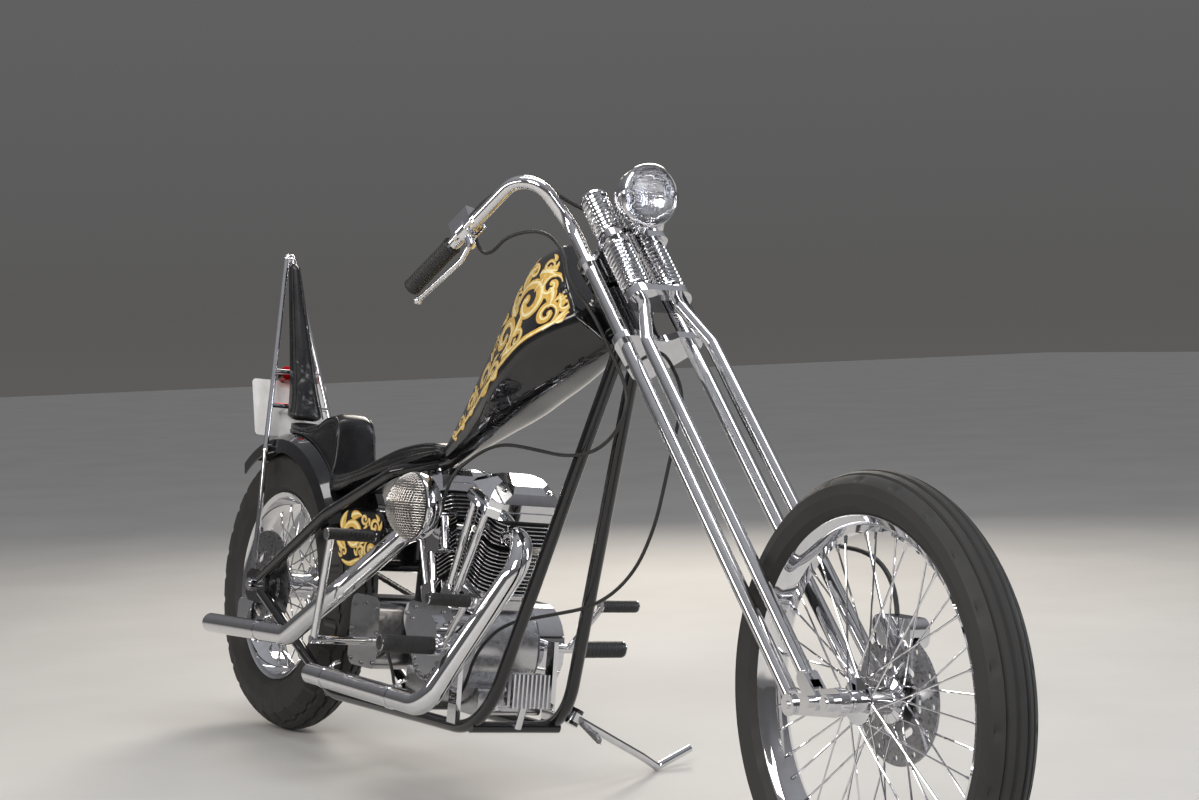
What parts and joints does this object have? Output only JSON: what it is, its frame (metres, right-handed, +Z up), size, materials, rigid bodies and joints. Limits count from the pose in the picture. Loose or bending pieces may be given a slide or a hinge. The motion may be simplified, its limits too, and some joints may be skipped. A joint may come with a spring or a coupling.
{
  "type": "chopper motorcycle",
  "caption": "Long chopper motorcycle with a springer fork, rigid frame, high prism tank and tall backrest, leaning on its side stand.",
  "frame": {"origin": "middle of the parked machine's outer box, at floor height", "axes": "+X forward, +Y to the machine's left, +Z up; the machine leans to its left on the stand"},
  "size_m": [2.7853, 0.7344, 1.2021],
  "materials": {
    "black_paint": "gloss black",
    "scroll_paint": "gloss black with painted gold scrolls",
    "chrome": "polished chrome plate",
    "polished_alloy": "polished cast alloy",
    "tyre": "dull black tyre rubber",
    "rubber": "black rubber",
    "vinyl": "black upholstery vinyl with a soft gloss",
    "lens": "fluted clear glass",
    "red_lens": "red glass",
    "steel": "bare steel",
    "plate_white": "bare white plate"
  },
  "bodies": {
    "frame": {"backbone": "black_paint", "downtubes": "black_paint", "lower_rails": "black_paint", "seat_rails": "black_paint", "rear_axle": "chrome", "tank": "scroll_paint", "seat": "vinyl", "rear_fender": "black_paint", "sissy_bar": "chrome", "backrest": "vinyl", "number_plate": "plate_white", "tail_lamp": "red_lens", "oil_tank": "scroll_paint", "crankcase": "polished_alloy", "front_cylinder": "polished_alloy", "rear_cylinder": "polished_alloy", "front_rocker_box": "chrome", "rear_rocker_box": "chrome", "gear_cover": "chrome", "pushrod_tubes": "chrome", "carburettor": "chrome", "air_cleaner": "chrome", "front_exhaust": "chrome", "rear_exhaust": "chrome", "primary_cover": "chrome", "gearbox": "polished_alloy", "chain": "steel", "kick_starter": "chrome", "foot_controls": "chrome", "regulator": "chrome", "rear_caliper": "chrome", "throttle_cable_frame": "rubber", "clutch_cable_frame": "rubber"},
    "fork": {"front_axle": "chrome", "rear_legs": "chrome", "rockers": "chrome", "spring_legs": "chrome", "springs": "chrome", "lower_tree": "chrome", "top_tree": "chrome", "handlebar": "chrome", "grips": "rubber", "headlamp": "chrome", "lamp_lens": "lens", "brake_lever": "chrome", "clutch_lever": "chrome", "front_caliper": "chrome", "brake_hose": "rubber", "throttle_cable_fork": "rubber", "clutch_cable_fork": "rubber"},
    "front_wheel_body": {"front_tyre": "tyre", "front_wheel": "chrome", "front_disc": "steel"},
    "rear_wheel_body": {"rear_tyre": "tyre", "rear_wheel": "chrome", "rear_sprocket": "steel", "rear_disc": "steel"},
    "stand": {"side_stand": "chrome"}
  },
  "joints": [
    {"name": "steering", "type": "hinge", "parent": "frame", "child": "fork", "pos_m": [0.26255, -0.01685, 0.90901], "axis": [-0.7071, 0.0898, 0.7014], "range_deg": [-23, 33]},
    {"name": "front_wheel_spin", "type": "hinge", "parent": "fork", "child": "front_wheel_body", "pos_m": [1.04689, -0.10238, 0.346], "axis": [0.0616, 0.996, -0.0655], "continuous": true},
    {"name": "rear_wheel_spin", "type": "hinge", "parent": "frame", "child": "rear_wheel_body", "pos_m": [-1.0627, -0.09117, 0.32885], "axis": [0, 0.9919, -0.1271], "continuous": true},
    {"name": "side_stand_fold", "type": "hinge", "parent": "frame", "child": "stand", "pos_m": [-0.0047, 0.00532, 0.16123], "axis": [0.0175, 0.5257, 0.8505], "range_deg": [0, 62]}
  ]
}
